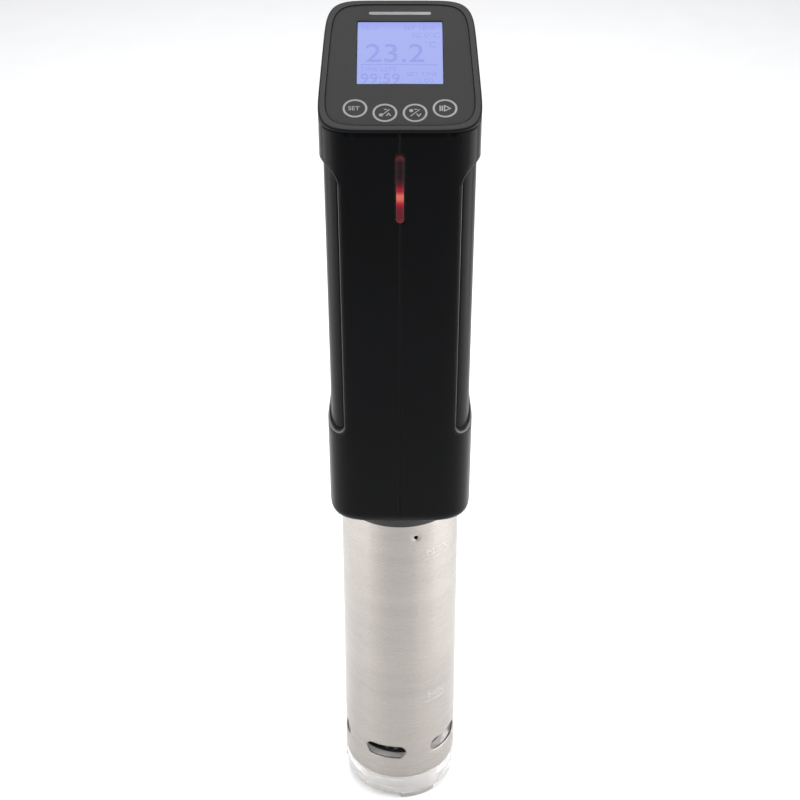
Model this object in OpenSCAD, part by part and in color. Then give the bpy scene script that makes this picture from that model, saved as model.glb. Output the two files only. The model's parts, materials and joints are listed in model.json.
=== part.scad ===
// Sous vide circulator: a tall casing with a tilted display head, standing on a steel
// sleeve that holds the heater, the pump and the probes, with a spring clip at the back.
// Millimetres, +Z up. The origin is on the sleeve's axis, in the plane of the feet.
// The front is -Y and +X is the user's right hand.

/* [Casing] */
// Width of the casing at its rim
casing_w = 68.2; // [66:0.2:74]
// Depth of the casing at its rim
casing_d = 72; // [70:0.5:80]
// Height of the casing's lower edge
casing_z0 = 188; // [185:0.5:194]
// Height of the rim's front edge
front_top = 392.5; // [388:0.5:400]
// Tilt of the control face towards the front, in degrees
tilt = 19.5; // [14:0.5:22]
// Share of its width that the casing loses from the rim to the lower edge
taper = 0.035; // [0:0.005:0.05]
// Wall thickness of the casing
wall = 3.6; // [3.4:0.1:4]

/* [Sleeve and cap] */
// Outer diameter of the steel sleeve
sleeve_d = 56; // [54:0.5:56.5]
// Wall thickness of the sleeve
sleeve_t = 0.9; // [0.8:0.1:1.2]
// Number of water outlets round the sleeve
outlets = 5; // [3:1:6]
// Height of one outlet
outlet_h = 7.8; // [5:0.2:8]
// Height of the clear cap under the sleeve, without its feet
cap_h = 13.5; // [12:0.5:15]
// Height of the feet
foot_h = 3; // [2:0.5:4]

/* [Display] */
// Width of the display window
window_w = 36; // [30:1:38]
// Length of the display window along the slope
window_l = 36.6; // [30:0.2:38]
// Outer diameter of a touch key's ring
key_d = 10.2; // [8:0.2:11]

/* [Pump and heater] */
// Diameter of the drive shaft
shaft_d = 4; // [3:0.5:5]
// Diameter of the heating tube
heater_d = 6.4; // [5:0.2:7]
// Radius of the circle that the heating tube's legs stand on
heater_r = 19.5; // [18:0.5:20]

/* [Clip] */
// Width of the clip's lever
lever_w = 30; // [20:1:32]
// Height of the clip's pin
pin_z = 246; // [240:1:252]

/* [Hidden] */

$fn = 64;
eps = 0.01;
far = 200;

// Casing outline and levels
corner_power = 5;
edge_power = 4;
head_power = 6.5;
sky_power = 7;
back_taper = 0.085;
taper_start = 0.6;
outline_steps = 64;
floor_t = 4;
rim_inset = 3;
rim_t = 1.3;
bezel_t = 5;
lip_t = 1.8;
plug_inset = lip_t + 0.3;
panel_t = 1.5;
seal_t = 0.2;
panel_drop = 0.25;
slope_l = casing_d / cos(tilt);

// Side grips: a recess in each shell with a separate insert on its floor
grip_x = 25;
grip_top = 372;
grip_rise = 4.6;
grip_shoulder_x = 32;
grip_bottom = 237;
grip_pocket = 2.8;
grip_sink = 1.6;
grip_gap = 0.2;
grip_corner = 5;

// Seam screws: distance behind the middle and height of each
screw_places = [[-23, 262], [23, 262], [-23, 340], [23, 296]];
screw_r = 1.45;
boss_r = 4;
boss_l = 34;
wall_bite = 0.3;
screw_head_x = 22;

// Control face, measured along the slope from the rim's front edge
window_s0 = 26.7;
board_h = -8.5;
board_t = 1.6;
key_places = [[-18.5, 12.7], [-6.2, 10.2], [6.2, 10.2], [18.5, 12.7]];
key_line = 0.9;
post_places = [[-25, 12], [25, 12], [-25, 57], [25, 57]];

// Status light in the front seam
light_w = 3.2;
light_z = [349, 381];

// Main circuit board
main_y = 20;
main_z = [302, 372];
main_w = 48;

// Water parts
sleeve_r = sleeve_d / 2;
sleeve_z = [foot_h + cap_h, casing_z0 + 1.5];
outlet_z = 33.6;
outlet_arc = 44;
outlet_first = -105.5;
collar_r = [sleeve_r + 0.85, sleeve_r + 1.6];
collar_z = [casing_z0 - 6.6, casing_z0 + floor_t];
shaft_r = shaft_d / 2;
running_gap = 0.05;
bore_r = shaft_r + running_gap;
flange_z = [casing_z0 - 4.5, casing_z0 + floor_t];
flange_seal_z = casing_z0 - 2.3;
flange_r = sleeve_r - sleeve_t - 0.6;
plate_z = [casing_z0 + floor_t, casing_z0 + floor_t + 3];
motor_z = [229, 277];
motor_r = 18;
frame_posts = [75, 190, 265];
heater_z = [46, 178];
lead_angles = [0, 300];
probe_angle = 330;
level_angles = [30, 150];
probe_ring = 21;
probe_r = 2;
level_r = 1.3;
guide_z = [58, 66];
neck_top = 29;
impeller_z = [30, 40.4];
impeller_r = 19.6;
strainer_z = [26.6, 28.2];
strainer_r = 22.5;

// Cord entry, high on the back
gland_z = 366;
gland_r = 7;

// Clip at the back
bracket_holes_z = [214, 276];
bracket_hole_x = 14;
bracket_y = 33.5;
bracket_t = 4.5;
bracket_z = [206, 284];
pin_y = 50;
pin_r = 2;
barrel_r = 5;
lever_t = 4;
jaw_z = 130;
jaw_y = 37.5;
tab_angle = 22;
tab_l = 46;

// ---- Shared shapes ----

function round_to(v, power) = sign(v) * pow(abs(v), 2 / power);
// The casing narrows toward its back. y is 1 at the back and -1 at the front.
function narrow(y) = 1 - back_taper * (y + taper_start) / (1 + taper_start);
function outline(half_w, half_d, power = corner_power) =
    [for (i = [0:outline_steps - 1])
        let (a = 360 * i / outline_steps, y = round_to(sin(a), power))
            [half_w * round_to(cos(a), power) * narrow(y), half_d * y]];
function size_at(z) = 1 - taper * (front_top - z) / (front_top - casing_z0);

// One thin level of the casing, drawn in by inset
module level(z, inset, power = corner_power)
    translate([0, 0, z])
        linear_extrude(eps)
            polygon(outline(casing_w / 2 * size_at(z) - inset, casing_d / 2 * size_at(z) - inset, power));

// The casing as a closed block whose walls are drawn in by inset
module casing_block(inset, z0)
    hull() {
        level(z0, inset + 2.4, edge_power);
        level(z0 + 1, inset + 1.1, (edge_power + corner_power) / 2);
        level(z0 + 3, inset + 0.2);
        level(z0 + 5, inset);
        level(front_top + casing_d, inset, sky_power);
    }

// Places children in the control face: X right, Y up the slope, Z out of the face
module on_face()
    translate([0, -casing_d / 2, front_top])
        rotate([tilt, 0, 0])
            children();

// A level of the head in the control face's own plane. Lower levels slide down the
// slope, so that the head's walls stay upright.
module face_level(h, inset)
    translate([0, slope_l / 2 + h * tan(tilt), h])
        linear_extrude(eps)
            polygon(outline(casing_w / 2 - inset, slope_l / 2 - inset, head_power));

// A closed plate in the control face, square to it
module face_plate(h, t, inset)
    translate([0, slope_l / 2, h])
        linear_extrude(t)
            polygon(outline(casing_w / 2 - inset, slope_l / 2 - inset, head_power));

// Flat ring from radius r0 to r1, from z0 to z1
module ring(r0, r1, z0, z1)
    translate([0, 0, z0])
        difference() {
            cylinder(r = r1, h = z1 - z0);
            translate([0, 0, -1]) cylinder(r = r0, h = z1 - z0 + 2);
        }

module rod(r, z0, z1, ring_r = 0, angle = 0)
    rotate([0, 0, angle])
        translate([ring_r, 0, z0])
            cylinder(r = r, h = z1 - z0);

// A pan-head screw along +Z with its head's seat at z = 0
module screw(shank_r, shank_l, head_r, head_h) {
    cylinder(r = shank_r, h = shank_l);
    translate([0, 0, -head_h])
        difference() {
            cylinder(r = head_r, h = head_h);
            translate([0, 0, -eps]) cylinder(r = head_r * 0.45, h = head_h * 0.6, $fn = 6);
        }
}

// A bar with round ends along Z, seen from the front, from y0 to y1
module front_slot(w, z0, z1, y0, y1) {
    translate([-w / 2, y0, z0 + w / 2]) cube([w, y1 - y0, z1 - z0 - w]);
    for (z = [z0 + w / 2, z1 - w / 2])
        translate([0, y0, z]) rotate([-90, 0, 0]) cylinder(d = w, h = y1 - y0);
}

// ---- Casing ----

// Grip recess on one side, seen from the front and grown by gap. Its upper end slopes up
// to the shoulder of the casing.
module grip_profile(gap)
    offset(r = grip_corner + gap)
        offset(delta = -grip_corner)
            polygon([[grip_x, grip_bottom], [casing_w, grip_bottom], [casing_w, grip_top + grip_rise],
                     [grip_shoulder_x, grip_top + grip_rise], [grip_x, grip_top]]);

module grip_band(gap)
    translate([0, far / 2, 0])
        rotate([90, 0, 0])
            linear_extrude(far)
                grip_profile(gap);

module outlet_vents()
    for (i = [0:4])
        translate([27, 0, 203.5 + 4.9 * i]) {
            translate([0, -18, -1.1]) cube([13, 36, 2.2]);
            for (y = [-18, 18])
                translate([0, y, 0]) rotate([0, 90, 0]) cylinder(r = 1.1, h = 13);
        }

// The right half of the casing. The left half is its mirror image with other screw holes.
module half_shell(hole_r, head_hole) {
    difference() {
        union() {
            difference() {
                casing_block(0, casing_z0);
                casing_block(wall, casing_z0 + floor_t);
                difference() {
                    grip_band(0);
                    casing_block(grip_pocket, casing_z0);
                }
                translate([0, 0, casing_z0 - 1]) cylinder(r = collar_r[1], h = floor_t + 2);
                outlet_vents();
                translate([-22, bracket_y, bracket_z[0] - 2]) cube([44, 20, bracket_z[1] - bracket_z[0] + 4]);
            }
            intersection() {
                union() {
                    for (p = screw_places)
                        translate([0, p[0], p[1]]) rotate([0, 90, 0]) cylinder(r = boss_r, h = boss_l);
                    for (y = [main_y - 2, main_y + board_t])
                        translate([main_w / 2 - 2, y, main_z[0]]) cube([12, 2, main_z[1] - main_z[0]]);
                }
                casing_block(wall - wall_bite, casing_z0);
            }
        }
        translate([-far, -far / 2, 0]) cube([far, far, 2 * far + 100]);
        on_face() {
            translate([-far / 2, -far / 2, -rim_t]) cube([far, far, far]);
            hull() {
                face_level(-bezel_t, lip_t);
                face_level(0, lip_t);
            }
        }
        front_slot(light_w, light_z[0], light_z[1], -50, -20);
        translate([0, 20, gland_z]) rotate([-90, 0, 0]) cylinder(r = gland_r, h = 30);
        for (p = screw_places)
            translate([0, p[0], p[1]])
                rotate([0, 90, 0]) {
                    translate([0, 0, -1]) cylinder(r = hole_r, h = head_hole ? 40 : 17);
                    if (head_hole) translate([0, 0, screw_head_x]) cylinder(r = 3, h = 20);
                }
        for (z = bracket_holes_z)
            translate([bracket_hole_x, 26, z]) rotate([-90, 0, 0]) cylinder(r = screw_r, h = 10);
    }
}

// The insert in the right-hand grip recess
module half_grip()
    difference() {
        intersection() {
            casing_block(grip_sink, casing_z0);
            grip_band(-grip_gap);
        }
        casing_block(grip_pocket, casing_z0);
    }

module left_shell() color("#17181a") mirror([1, 0, 0]) half_shell(screw_r + 0.05, true);
module right_shell() color("#17181a") half_shell(screw_r, false);
module left_grip() color("#202124") mirror([1, 0, 0]) half_grip();
module right_grip() color("#202124") half_grip();

// Screws under the left grip that pull the two shells together
module shell_screws()
    color("silver")
        for (p = screw_places)
            translate([-screw_head_x, p[0], p[1]])
                rotate([0, 90, 0]) screw(screw_r, screw_head_x + 15, 2.8, 2);

// ---- Control head ----

module key_holes(r, h, t)
    for (p = key_places)
        translate([p[0], p[1], h]) cylinder(r = r, h = t);

module window(grow, h, t)
    translate([-window_w / 2 - grow, window_s0 - grow, h])
        cube([window_w + 2 * grow, window_l + 2 * grow, t]);

// Rim and carrier plate of the head, with four posts for the circuit board
module top_bezel()
    color("#45464a")
        on_face() {
            difference() {
                union() {
                    hull() {
                        face_level(-rim_t, 0);
                        face_level(-0.8, 0);
                        face_level(-0.25, 0.25);
                        face_level(-eps, 0.8);
                    }
                    hull() {
                        face_level(-bezel_t, plug_inset);
                        face_level(-rim_t / 2, plug_inset);
                    }
                }
                face_plate(-panel_drop - panel_t - seal_t, 5, rim_inset);
                window(3, -bezel_t - 1, bezel_t + 2);
                key_holes(3, -bezel_t - 1, bezel_t + 2);
            }
            for (p = post_places)
                translate([p[0], p[1], board_h])
                    difference() {
                        cylinder(r = 2.4, h = -board_h - bezel_t + eps);
                        translate([0, 0, -1]) cylinder(r = 1, h = 3);
                    }
        }

// Adhesive seal between the panel and its seat
module panel_seal()
    color("#101010")
        on_face()
            difference() {
                face_plate(-panel_drop - panel_t - seal_t, seal_t, rim_inset + 0.5);
                face_plate(-panel_drop - panel_t - seal_t - 1, seal_t + 2, rim_inset + 3);
            }

module control_panel()
    color("#424346")
        on_face()
            difference() {
                face_plate(-panel_drop - panel_t, panel_t, rim_inset + 0.15);
                window(0, -5, 10);
                for (p = key_places)
                    translate([p[0], p[1], 0]) ring(key_d / 2 - key_line, key_d / 2, -panel_drop - 0.3, 1);
            }

module key_rings()
    color("#c8c8c8")
        on_face()
            for (p = key_places)
                translate([p[0], p[1], 0])
                    ring(key_d / 2 - key_line, key_d / 2, -panel_drop - 0.3, -panel_drop + 0.05);

module lcd_glass() color("#aab4fa") on_face() window(-0.05, -2.6, 2.1);

module lcd_module()
    color("#d8d8e0")
        on_face()
            window(2.4, board_h, -board_h - 2.6);

module display_board()
    color("#1d5a34")
        on_face()
            difference() {
                translate([-27, 8.5, board_h - board_t]) cube([54, 52, board_t]);
                for (p = post_places)
                    translate([p[0], p[1], board_h - 5]) cylinder(r = 1, h = 10);
            }

module board_screws()
    color("silver")
        on_face()
            for (p = post_places)
                translate([p[0], p[1], board_h - board_t]) screw(1, 3.5, 1.9, 1.3);

// Contact springs from the board up to the touch keys
module touch_springs()
    color("#c9a24a")
        on_face()
            for (p = key_places)
                translate([p[0], p[1], 0]) ring(1.7, 2.3, board_h, -panel_drop - panel_t);

module buzzer()
    color("#161616")
        on_face()
            translate([-12, 20, board_h - board_t - 5])
                difference() {
                    cylinder(r = 6, h = 5);
                    translate([0, 0, -eps]) cylinder(r = 1, h = 1);
                }

// Light pipe in the front seam and the small board that lights it
module light_pipe() color("#b01818") front_slot(light_w, light_z[0], light_z[1], -35.9, -30.6);

module led_board()
    color("#1d5a34")
        translate([-6, -30.6, light_z[0] - 3]) cube([12, 1.4, light_z[1] - light_z[0] + 6]);

// ---- Cord entry and power electronics ----

module cord_gland()
    color("#1a1a1a")
        translate([0, 28, gland_z])
            rotate([-90, 0, 0])
                difference() {
                    union() {
                        cylinder(r = gland_r, h = 15);
                        translate([0, 0, 8.2]) cylinder(r = gland_r + 2.5, h = 2.4);
                    }
                    translate([0, 0, -1]) cylinder(r = 3.6, h = 17);
                }

module gland_nut()
    color("#1a1a1a")
        translate([0, 28, gland_z])
            rotate([-90, 0, 0])
                difference() {
                    cylinder(r = gland_r + 3.5, h = 3.6, $fn = 6);
                    translate([0, 0, -1]) cylinder(r = gland_r, h = 6);
                }

module main_board()
    color("#1d5a34")
        translate([-main_w / 2, main_y, main_z[0]]) cube([main_w, board_t, main_z[1] - main_z[0]]);

// A block of size s that stands on the front of the main board, centred on x and z
module on_board(x, z, s) translate([x - s[0] / 2, main_y - s[1], z - s[2] / 2]) cube(s);

module relay() color("#1e3f8a") on_board(-12, 352, [19, 15, 15]);

module transformer()
    color("#c9a23a") {
        on_board(11, 350, [22, 18, 20]);
        translate([11, main_y - 9, 360]) cylinder(r = 6, h = 5);
    }

module capacitor()
    color("#20242c")
        translate([-14, main_y, 325]) rotate([90, 0, 0]) cylinder(r = 6.5, h = 20);

module heat_sink()
    color("#b8bcc2") {
        on_board(9.5, 325, [24, 3, 22]);
        for (x = [0:5])
            translate([-2.1 + x * 4.4, main_y - 16, 314]) cube([1.4, 13, 22]);
    }

module terminal_block()
    color("#e8e6dc")
        difference() {
            on_board(0, 305.5, [36, 10, 8]);
            for (x = [-13.5:9:13.5])
                translate([x, main_y - 5, 305]) cylinder(r = 1.8, h = 6);
        }

// ---- Pump drive ----

module motor_frame()
    color("#8c9096")
        difference() {
            union() {
                rod(27.4, plate_z[0], plate_z[1]);
                rod(24, motor_z[0] - 3, motor_z[0]);
                for (a = frame_posts) rod(3, plate_z[1] - eps, motor_z[0] - 3 + eps, 20, a);
            }
            rod(6, plate_z[0] - 1, motor_z[0] + 1);
            for (a = lead_angles) rod(heater_d / 2, plate_z[0] - 1, plate_z[1] + 1, heater_r, a);
            rod(probe_r, plate_z[0] - 1, plate_z[1] + 1, probe_ring, probe_angle);
            for (a = level_angles) rod(level_r, plate_z[0] - 1, plate_z[1] + 1, probe_ring, a);
            for (a = [0, 180]) rod(screw_r, motor_z[0] - 4, motor_z[0] + 1, 12, a);
        }

module motor_can()
    color("#a9adb3")
        difference() {
            rod(motor_r, motor_z[0], motor_z[1]);
            rod(motor_r - 2, motor_z[0] + 2, motor_z[1] - 2);
            rod(bore_r, motor_z[0] - 1, motor_z[1] + 1);
            for (a = [0, 180]) rod(screw_r, motor_z[0] - 1, motor_z[0] + 3, 12, a);
        }

module stator() color("#b4622d") ring(12.6, motor_r - 2, motor_z[0] + 7, motor_z[1] - 7);

module motor_screws()
    color("silver")
        for (a = [0, 180])
            rotate([0, 0, a]) translate([12, 0, motor_z[0] - 3]) screw(screw_r, 5, 2.8, 2);

module drive_shaft() color("#d5d7da") rod(shaft_r, impeller_z[0] - 2, 292);

module motor_rotor() color("#70757c") ring(shaft_r, 12, motor_z[0] + 8, motor_z[1] - 8);

module coupling()
    color("#b8bcc2")
        difference() {
            ring(shaft_r, 6, 206, 219);
            for (z = [209, 216])
                translate([3.5, 0, z]) rotate([0, 90, 0]) cylinder(r = 1.2, h = 6);
        }

// Seven pitched blades on a hub that the shaft fills
module cooling_fan()
    color("#2a2c30")
        difference() {
            union() {
                rod(8, 281, 289);
                for (i = [0:6])
                    rotate([0, 0, 360 / 7 * i])
                        translate([7, 0, 285]) rotate([52, 0, 0]) translate([0, -0.7, -4]) cube([16, 1.4, 8]);
            }
            rod(shaft_r, 275, 295);
        }

// Straight blades hanging from a disc, on a hub that the shaft fills
module impeller()
    color("#e9ebee")
        difference() {
            union() {
                rod(5.5, impeller_z[0], impeller_z[1]);
                rod(impeller_r, impeller_z[1] - 1.4, impeller_z[1]);
                for (i = [0:5])
                    rotate([0, 0, 60 * i]) translate([4.5, -0.8, impeller_z[0] + 0.5]) cube([14.5, 1.6, 9]);
            }
            rod(shaft_r, impeller_z[0] - 1, impeller_z[1] + 1);
        }

// ---- Heater and probes ----

module heater_flange()
    color("#c9ccd0")
        difference() {
            union() {
                rod(flange_r, flange_z[0], casing_z0);
                rod(24.5, casing_z0 - eps, flange_z[1]);
            }
            ring(flange_r - 1.9, 30, flange_seal_z - 1, flange_seal_z + 1);
            rod(5, flange_z[0] - 1, flange_z[1] + 1);
            for (a = lead_angles) rod(heater_d / 2, flange_z[0] - 1, flange_z[1] + 1, heater_r, a);
            rod(probe_r, flange_z[0] - 1, flange_z[1] + 1, probe_ring, probe_angle);
            for (a = level_angles) rod(level_r, flange_z[0] - 1, flange_z[1] + 1, probe_ring, a);
        }

module flange_seal()
    color("#1c1c1c")
        translate([0, 0, flange_seal_z]) rotate_extrude() translate([flange_r - 0.85, 0]) circle(r = 1);

module shaft_seal() color("#8a3a20") ring(bore_r, 5, flange_z[0], flange_z[1]);

// One heating tube that runs up and down six times, with its two ends in the casing.
// The legs stand on a circle, and a slightly thicker U bend joins each pair of neighbours.
module heater() {
    r = heater_d / 2;
    bend_r = heater_r * sin(30);
    color("#b9bcc0") {
        for (i = [0:5]) {
            lead = i == 0 || i == 5;
            rod(r, heater_z[0] + bend_r - 0.4, lead ? 203 : heater_z[1] - bend_r + 0.4, heater_r, 60 * i);
        }
        for (i = [0:4]) {
            low = i % 2 == 0;
            rotate([0, 0, 60 * i + 30])
                translate([heater_r * cos(30), 0, low ? heater_z[0] + bend_r : heater_z[1] - bend_r])
                    rotate([90, 0, 90])
                        rotate([0, 0, low ? 180 : 0])
                            rotate_extrude(angle = 180) translate([bend_r, 0]) circle(r = r + 0.2);
        }
    }
}

// Three-armed guide between the heater's legs that steadies the shaft
module shaft_guide()
    color("#c9ccd0")
        difference() {
            union() {
                rod(5.5, guide_z[0], guide_z[1]);
                for (a = [0, 120, 240])
                    rotate([0, 0, a])
                        translate([5, -1.2, guide_z[0] + 1]) cube([heater_r - heater_d / 2 - 4.8, 2.4, 5]);
            }
            rod(bore_r, guide_z[0] - 1, guide_z[1] + 1);
            for (a = [0, 120, 240]) rod(heater_d / 2, guide_z[0] - 1, guide_z[1] + 1, heater_r, a);
        }

// A probe rod with a round lower tip
module probe(r, z0, angle) {
    rod(r, z0, 200, probe_ring, angle);
    rotate([0, 0, angle]) translate([probe_ring, 0, z0]) sphere(r = r);
}

module temperature_probe() color("#cfd1d4") probe(probe_r, 52, probe_angle);

module level_probes()
    color("#cfd1d4") {
        probe(level_r, 66, level_angles[0]);
        probe(level_r, 150, level_angles[1]);
    }

// ---- Sleeve, collar and cap ----

module collar() color("#3a3b3e") ring(collar_r[0], collar_r[1], collar_z[0], collar_z[1]);

// One round-ended opening through the sleeve's wall, centred on angle a
module outlet(a) {
    half = outlet_arc / 2 - 8;
    reach = sleeve_d;
    rotate([0, 0, a]) {
        translate([0, 0, outlet_z - outlet_h / 2])
            linear_extrude(outlet_h)
                polygon([[0, 0], [reach * cos(half), -reach * sin(half)], [reach, 0],
                         [reach * cos(half), reach * sin(half)]]);
        for (side = [-half, half])
            rotate([0, 0, side])
                translate([sleeve_r - 4, 0, outlet_z])
                    rotate([0, 90, 0]) cylinder(d = outlet_h - 0.04, h = 8);
    }
}

module sleeve()
    color("#d6d2cc")
        difference() {
            ring(sleeve_r - sleeve_t, sleeve_r, sleeve_z[0], sleeve_z[1]);
            for (i = [0:outlets - 1]) outlet(outlet_first + 360 / outlets * i);
            rotate([0, 0, -74]) translate([20, 0, 173]) rotate([0, 90, 0]) cylinder(r = 1, h = 12);
        }

// Clear cap with a round lower edge, a neck inside the sleeve, six inlets, three curved
// feet and a round one in the middle
module end_cap() {
    edge_r = 2.4;
    lip_r = sleeve_r - 0.4;
    neck_r = sleeve_r - sleeve_t - 0.4;
    z0 = foot_h;
    z1 = foot_h + cap_h;
    color("#e4e2e0") {
        difference() {
            union() {
                rod(lip_r, z0 + edge_r, z1);
                rod(lip_r - edge_r, z0, z0 + edge_r + eps);
                translate([0, 0, z0 + edge_r])
                    rotate_extrude() translate([lip_r - edge_r, 0]) circle(r = edge_r);
                rod(neck_r, z1 - eps, neck_top);
            }
            rod(lip_r - 5, z0 + 2.2, neck_top + 1);
            for (a = [0:60:300]) rod(4, z0 - 1, z0 + 4, 12.5, a);
        }
        rod(4.5, 0, z0 + 1);
        for (a = [-89, 31, 151])
            rotate([0, 0, a])
                rotate_extrude(angle = 40)
                    translate([lip_r - 5.6, 0]) square([4.4, z0 + 0.6]);
    }
}

// Black strainer disc pressed into the cap's neck, under the impeller
module strainer()
    color("#232326")
        difference() {
            rod(strainer_r, strainer_z[0], strainer_z[1]);
            rod(4, strainer_z[0] - 1, strainer_z[1] + 1);
            for (ring_r = [8.5:5:18.5])
                for (a = [0:360 / round(ring_r * 1.4):359])
                    rod(1.3, strainer_z[0] - 1, strainer_z[1] + 1, ring_r, a);
        }

// ---- Clip ----

module clip_bracket()
    color("#1b1c1e")
        difference() {
            union() {
                translate([-20, bracket_y, bracket_z[0]])
                    cube([40, bracket_t, bracket_z[1] - bracket_z[0]]);
                for (side = [0, 1])
                    mirror([side, 0, 0]) {
                        translate([lever_w / 2 + 0.5, bracket_y + 1, pin_z - 14]) cube([4, 10, 28]);
                        translate([lever_w / 2 + 0.5, pin_y, pin_z])
                            rotate([0, 90, 0]) cylinder(r = 7, h = 4);
                        translate([lever_w / 2 + 0.5, bracket_y + 1, pin_z - 6.9])
                            cube([4, pin_y - bracket_y - 1, 13.8]);
                    }
            }
            translate([-30, pin_y, pin_z]) rotate([0, 90, 0]) cylinder(r = pin_r, h = 60);
            for (x = [-bracket_hole_x, bracket_hole_x], z = bracket_holes_z)
                translate([x, 26, z]) rotate([-90, 0, 0]) cylinder(r = screw_r, h = 20);
        }

module bracket_screws()
    color("silver")
        for (x = [-bracket_hole_x, bracket_hole_x], z = bracket_holes_z)
            translate([x, bracket_y + bracket_t, z]) rotate([90, 0, 0]) screw(screw_r, 9, 2.6, 1.8);

module clip_pin()
    color("#d5d7da")
        translate([-lever_w / 2 - 5.5, pin_y, pin_z])
            rotate([0, 90, 0]) cylinder(r = pin_r, h = lever_w + 11);

// Coil of the torsion spring round the pin, in the gap in the lever's barrel
module clip_spring()
    color("silver")
        for (i = [0:4])
            translate([-5 + 2.5 * i, pin_y, pin_z])
                rotate([0, 90, 0])
                    rotate_extrude() translate([3.4, 0]) circle(r = 0.8);

// Lever with a thumb tab above the pin and a long arm with a jaw below it
module clip_lever() {
    arm_l = norm([pin_y - jaw_y, pin_z - jaw_z]);
    plate_w = lever_w - 1;
    arm_angle = atan((pin_y - jaw_y) / (pin_z - jaw_z));
    color("#1b1c1e")
        difference() {
            translate([0, pin_y, pin_z]) {
                translate([-lever_w / 2, 0, 0]) rotate([0, 90, 0]) cylinder(r = barrel_r, h = lever_w);
                rotate([-arm_angle, 0, 0])
                    translate([-plate_w / 2, -lever_t / 2, -arm_l]) cube([plate_w, lever_t, arm_l - 3]);
                rotate([-tab_angle, 0, 0]) {
                    translate([-plate_w / 2, -lever_t / 2, 3]) cube([plate_w, lever_t, tab_l - 3]);
                    for (z = [tab_l - 18:4:tab_l - 2])
                        translate([-lever_w / 2 + 3, lever_t / 2 - 0.5, z - 1]) cube([lever_w - 6, 1.3, 1.6]);
                }
            }
            translate([-30, pin_y, pin_z]) rotate([0, 90, 0]) cylinder(r = pin_r + running_gap, h = 60);
            translate([-7, pin_y, pin_z]) rotate([0, 90, 0]) cylinder(r = barrel_r + 1, h = 14);
        }
}

// Rubber pad on the inside of the arm's lower end
module jaw_pad()
    color("#2b2b2b") {
        arm_angle = atan((pin_y - jaw_y) / (pin_z - jaw_z));
        translate([0, jaw_y, jaw_z])
            rotate([-arm_angle, 0, 0])
                difference() {
                    translate([-lever_w / 2 + 2, -lever_t / 2 - 3.4, 0]) cube([lever_w - 4, 3.4, 18]);
                    for (z = [3:3:15])
                        translate([-lever_w, -lever_t / 2 - 3.4, z])
                            rotate([0, 90, 0]) cylinder(r = 0.6, h = 2 * lever_w);
                }
    }

left_shell();
right_shell();
left_grip();
right_grip();
shell_screws();
top_bezel();
panel_seal();
control_panel();
key_rings();
lcd_glass();
lcd_module();
display_board();
board_screws();
touch_springs();
buzzer();
light_pipe();
led_board();
cord_gland();
gland_nut();
main_board();
relay();
transformer();
capacitor();
heat_sink();
terminal_block();
collar();
motor_frame();
motor_can();
stator();
motor_screws();
heater_flange();
flange_seal();
shaft_seal();
heater();
shaft_guide();
temperature_probe();
level_probes();
drive_shaft();
motor_rotor();
cooling_fan();
coupling();
impeller();
sleeve();
end_cap();
strainer();
clip_bracket();
bracket_screws();
clip_pin();
clip_spring();
clip_lever();
jaw_pad();
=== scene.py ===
import json
import math

import bmesh
import bpy
import numpy as np
from mathutils import Matrix, Vector, kdtree
from mathutils.geometry import delaunay_2d_cdt


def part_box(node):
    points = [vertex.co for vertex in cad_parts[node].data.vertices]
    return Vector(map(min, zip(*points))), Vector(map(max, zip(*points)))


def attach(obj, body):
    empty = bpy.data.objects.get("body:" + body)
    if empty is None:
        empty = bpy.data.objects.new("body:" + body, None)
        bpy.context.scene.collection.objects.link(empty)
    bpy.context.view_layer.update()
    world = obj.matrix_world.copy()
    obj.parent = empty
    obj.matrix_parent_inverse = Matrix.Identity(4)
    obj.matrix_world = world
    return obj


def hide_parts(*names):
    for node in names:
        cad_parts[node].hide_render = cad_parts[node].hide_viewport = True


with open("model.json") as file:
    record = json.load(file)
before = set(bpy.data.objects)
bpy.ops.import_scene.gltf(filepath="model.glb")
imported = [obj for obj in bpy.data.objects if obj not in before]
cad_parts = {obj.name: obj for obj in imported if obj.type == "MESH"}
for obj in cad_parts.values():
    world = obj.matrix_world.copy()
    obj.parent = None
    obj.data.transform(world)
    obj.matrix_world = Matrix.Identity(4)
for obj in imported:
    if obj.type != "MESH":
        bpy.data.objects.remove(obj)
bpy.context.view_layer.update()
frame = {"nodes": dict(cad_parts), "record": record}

MM = 0.001

# ---------------------------------------------------------------- sizes, in mm
CASING_W, CASING_D = 68.2, 72.0
CASING_Z0, FRONT_TOP = 188.0, 392.5
SEAM_FRONT, SEAM_BACK = 390.0, 411.0
TILT = math.radians(19.5)
TAPER = 0.035
WALL = 1.8
CORNER_POWER, EDGE_POWER, HEAD_POWER, SKY_POWER = 5.0, 4.0, 6.5, 7.0
BACK_TAPER, TAPER_START = 0.085, 0.6
EDGE_INSET, EDGE_H = 2.4, 5.0
BEZEL_T, RIM_T, RIM_INSET, PLUG_INSET = 5.0, 1.3, 3.0, 2.1
SLOPE_L = CASING_D / math.cos(TILT)
COLLAR_R, COLLAR_BORE = 29.6, 28.85
SLEEVE_R, SLEEVE_T = 28.0, 0.9
SLEEVE_Z0, SLEEVE_Z1 = 16.5, 189.5
OUTLET_Z, OUTLET_H, OUTLET_ARC, OUTLET_END_ARC, OUTLET_FIRST, OUTLETS = 33.6, 7.8, 44.0, 8.0, -105.5, 5
VENT_HOLE_AZ, VENT_HOLE_Z, VENT_HOLE_R = -74.0, 173.0, 1.0
FOOT_H, FOOT_FIRST, FOOT_ARC, RIB_FIRST, RIB_ARC = 3.0, -89.0, 40.0, -128.0, 42.0
MARK_AZ, MARK_MAX_Z, MARK_MIN_Z = 40.0, 158.5, 66.0
WINDOW_W, WINDOW_L, WINDOW_S0 = 36.0, 36.6, 26.7
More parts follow.
